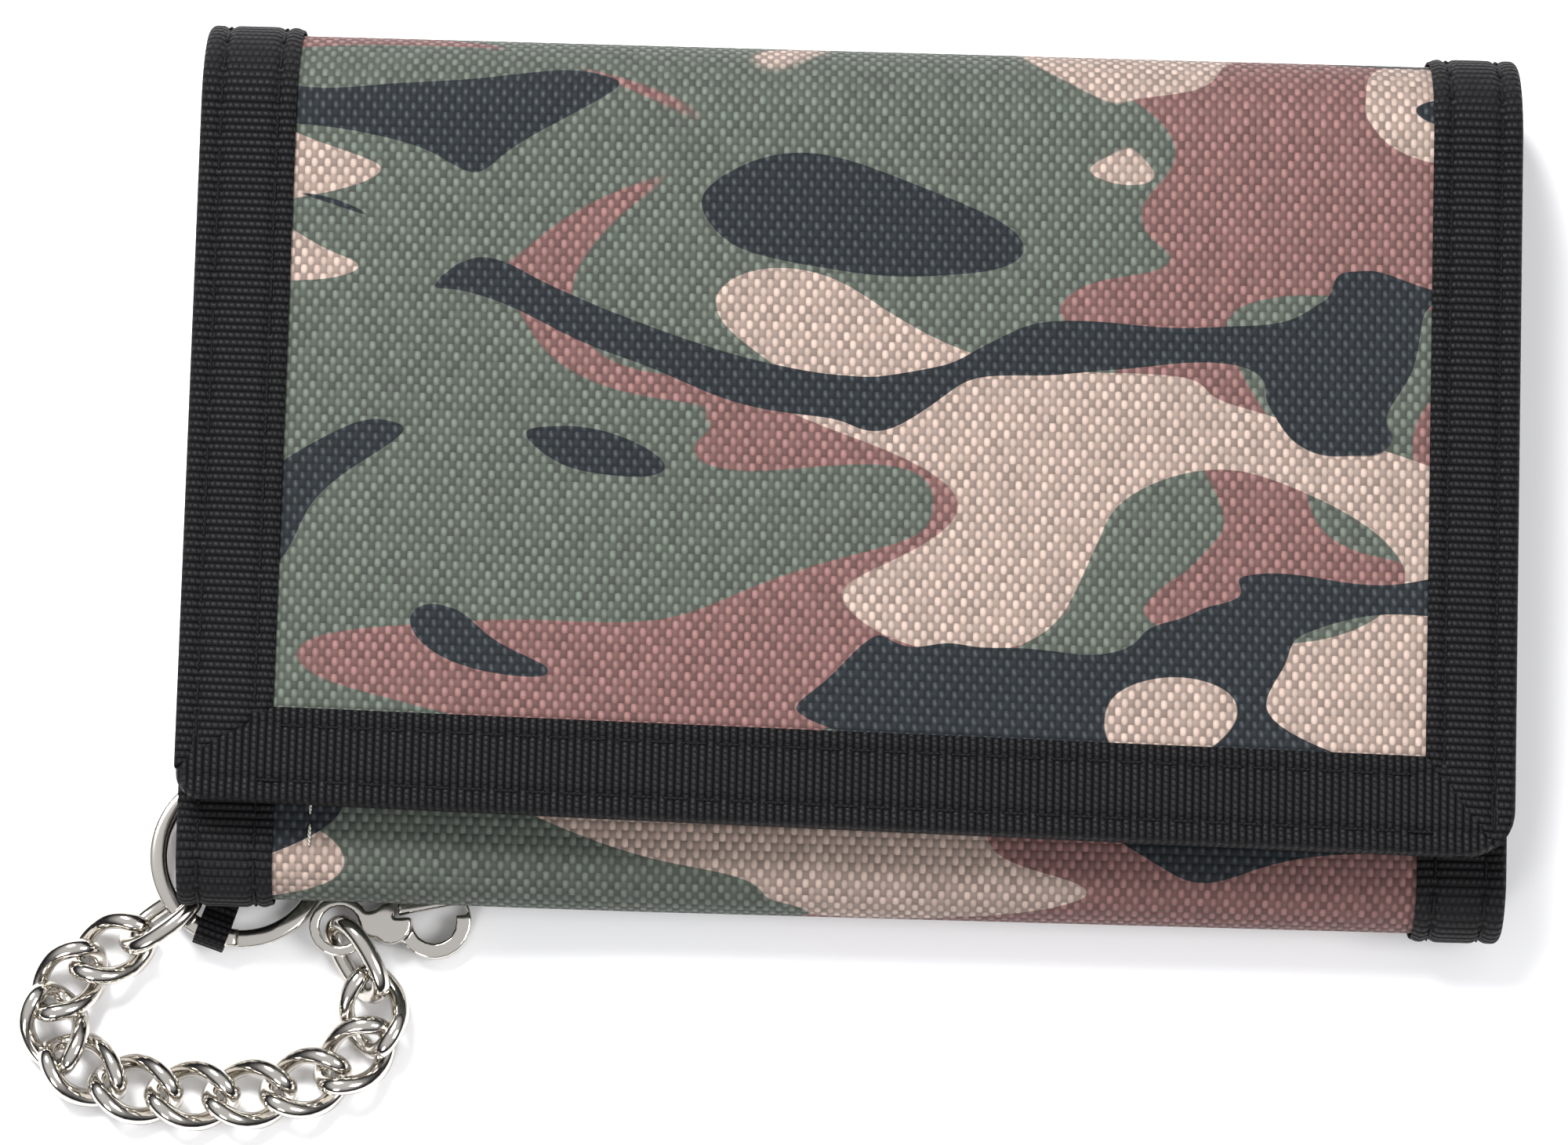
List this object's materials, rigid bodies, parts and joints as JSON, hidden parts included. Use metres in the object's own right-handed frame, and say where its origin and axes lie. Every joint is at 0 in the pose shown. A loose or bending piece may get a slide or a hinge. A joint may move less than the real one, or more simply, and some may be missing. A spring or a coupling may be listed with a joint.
{
  "type": "trifold wallet",
  "caption": "Closed trifold wallet of printed woven cloth with bound edges, card and coin pockets inside, and a short curb chain on a split ring at one corner.",
  "frame": {"origin": "under the middle of the closed wallet, on the surface that it lies on", "axes": "+X along the folds to the right as the front is read, +Y towards the top fold, +Z out of the front of the flap"},
  "size_m": [0.1402, 0.1052, 0.0185],
  "materials": {
    "printed_cloth": null,
    "binding_tape": "black ribbed grosgrain tape",
    "lining": "black plain woven lining",
    "hook_and_loop": "black hook and loop strip",
    "clear_vinyl": "clear flexible vinyl",
    "nickel": "polished nickel plate"
  },
  "bodies": {
    "back": {"back_shell": "printed_cloth", "back_lining": "lining", "back_binding_left": "binding_tape", "back_binding_right": "binding_tape", "back_mouth_binding": "binding_tape", "id_window": "clear_vinyl", "id_window_frame": "binding_tape", "bottom_fold_shell": "printed_cloth", "bottom_fold_lining": "lining", "bottom_fold_binding_left": "binding_tape", "bottom_fold_binding_right": "binding_tape", "corner_tab": "binding_tape", "chain_link_01": "nickel", "chain_link_02": "nickel", "chain_link_03": "nickel", "chain_link_04": "nickel", "chain_link_05": "nickel", "chain_link_06": "nickel", "chain_link_07": "nickel", "chain_link_08": "nickel", "chain_link_09": "nickel", "chain_link_10": "nickel", "chain_link_11": "nickel", "chain_link_12": "nickel", "clasp_claw": "nickel"},
    "top_spine": {"top_fold_shell": "printed_cloth", "top_fold_lining": "lining", "top_fold_binding_left": "binding_tape", "top_fold_binding_right": "binding_tape"},
    "flap": {"flap_shell": "printed_cloth", "flap_lining": "lining", "flap_binding_left": "binding_tape", "flap_binding_right": "binding_tape", "flap_mouth_binding": "binding_tape", "flap_binding_end": "binding_tape", "hook_strip": "hook_and_loop", "coin_pocket": "lining", "zip_tape_upper": "binding_tape", "zip_tape_lower": "binding_tape", "zip_teeth": "nickel"},
    "zip": {"zip_slider": "nickel", "zip_pull": "nickel"},
    "inner_panel": {"inner_shell": "printed_cloth", "inner_lining": "lining", "inner_binding_left": "binding_tape", "inner_binding_right": "binding_tape", "inner_mouth_binding": "binding_tape", "inner_binding_end": "binding_tape", "loop_strip": "hook_and_loop", "card_pocket_1": "lining", "card_pocket_2": "lining", "card_pocket_3": "lining"},
    "ring": {"split_ring": "nickel"},
    "lever": {"clasp_lever": "nickel"}
  },
  "joints": [
    {"name": "top_fold", "type": "hinge", "parent": "back", "child": "top_spine", "pos_m": [0, 0.03932, 0.00293], "axis": [-1, 0, 0], "range_deg": [0, 90]},
    {"name": "flap_fold", "type": "hinge", "parent": "top_spine", "child": "flap", "pos_m": [0, 0.03932, 0.01557], "axis": [-1, 0, 0], "range_deg": [0, 90]},
    {"name": "inner_fold", "type": "hinge", "parent": "back", "child": "inner_panel", "pos_m": [0, -0.0402, 0.0128], "axis": [1, 0, 0], "range_deg": [0, 18]},
    {"name": "zip_slide", "type": "slide", "parent": "flap", "child": "zip", "axis": [1, 0, 0], "range_m": [-0.048, 0]},
    {"name": "ring_spin", "type": "hinge", "parent": "back", "child": "ring", "pos_m": [-0.0573, -0.037, 0.00195], "axis": [0.0943, 0.0849, 0.9919], "continuous": true},
    {"name": "clasp_lever_turn", "type": "hinge", "parent": "back", "child": "lever", "pos_m": [-0.04175, -0.04139, 0.0015], "axis": [0, 0, 1], "range_deg": [-8, 0], "stiffness_Nm_per_rad": 0.0005}
  ],
  "couplings": [
    {"joint": "flap_fold", "follows": "top_fold", "ratio": 1},
    {"joint": "inner_fold", "follows": "top_fold", "ratio": 0.2}
  ]
}
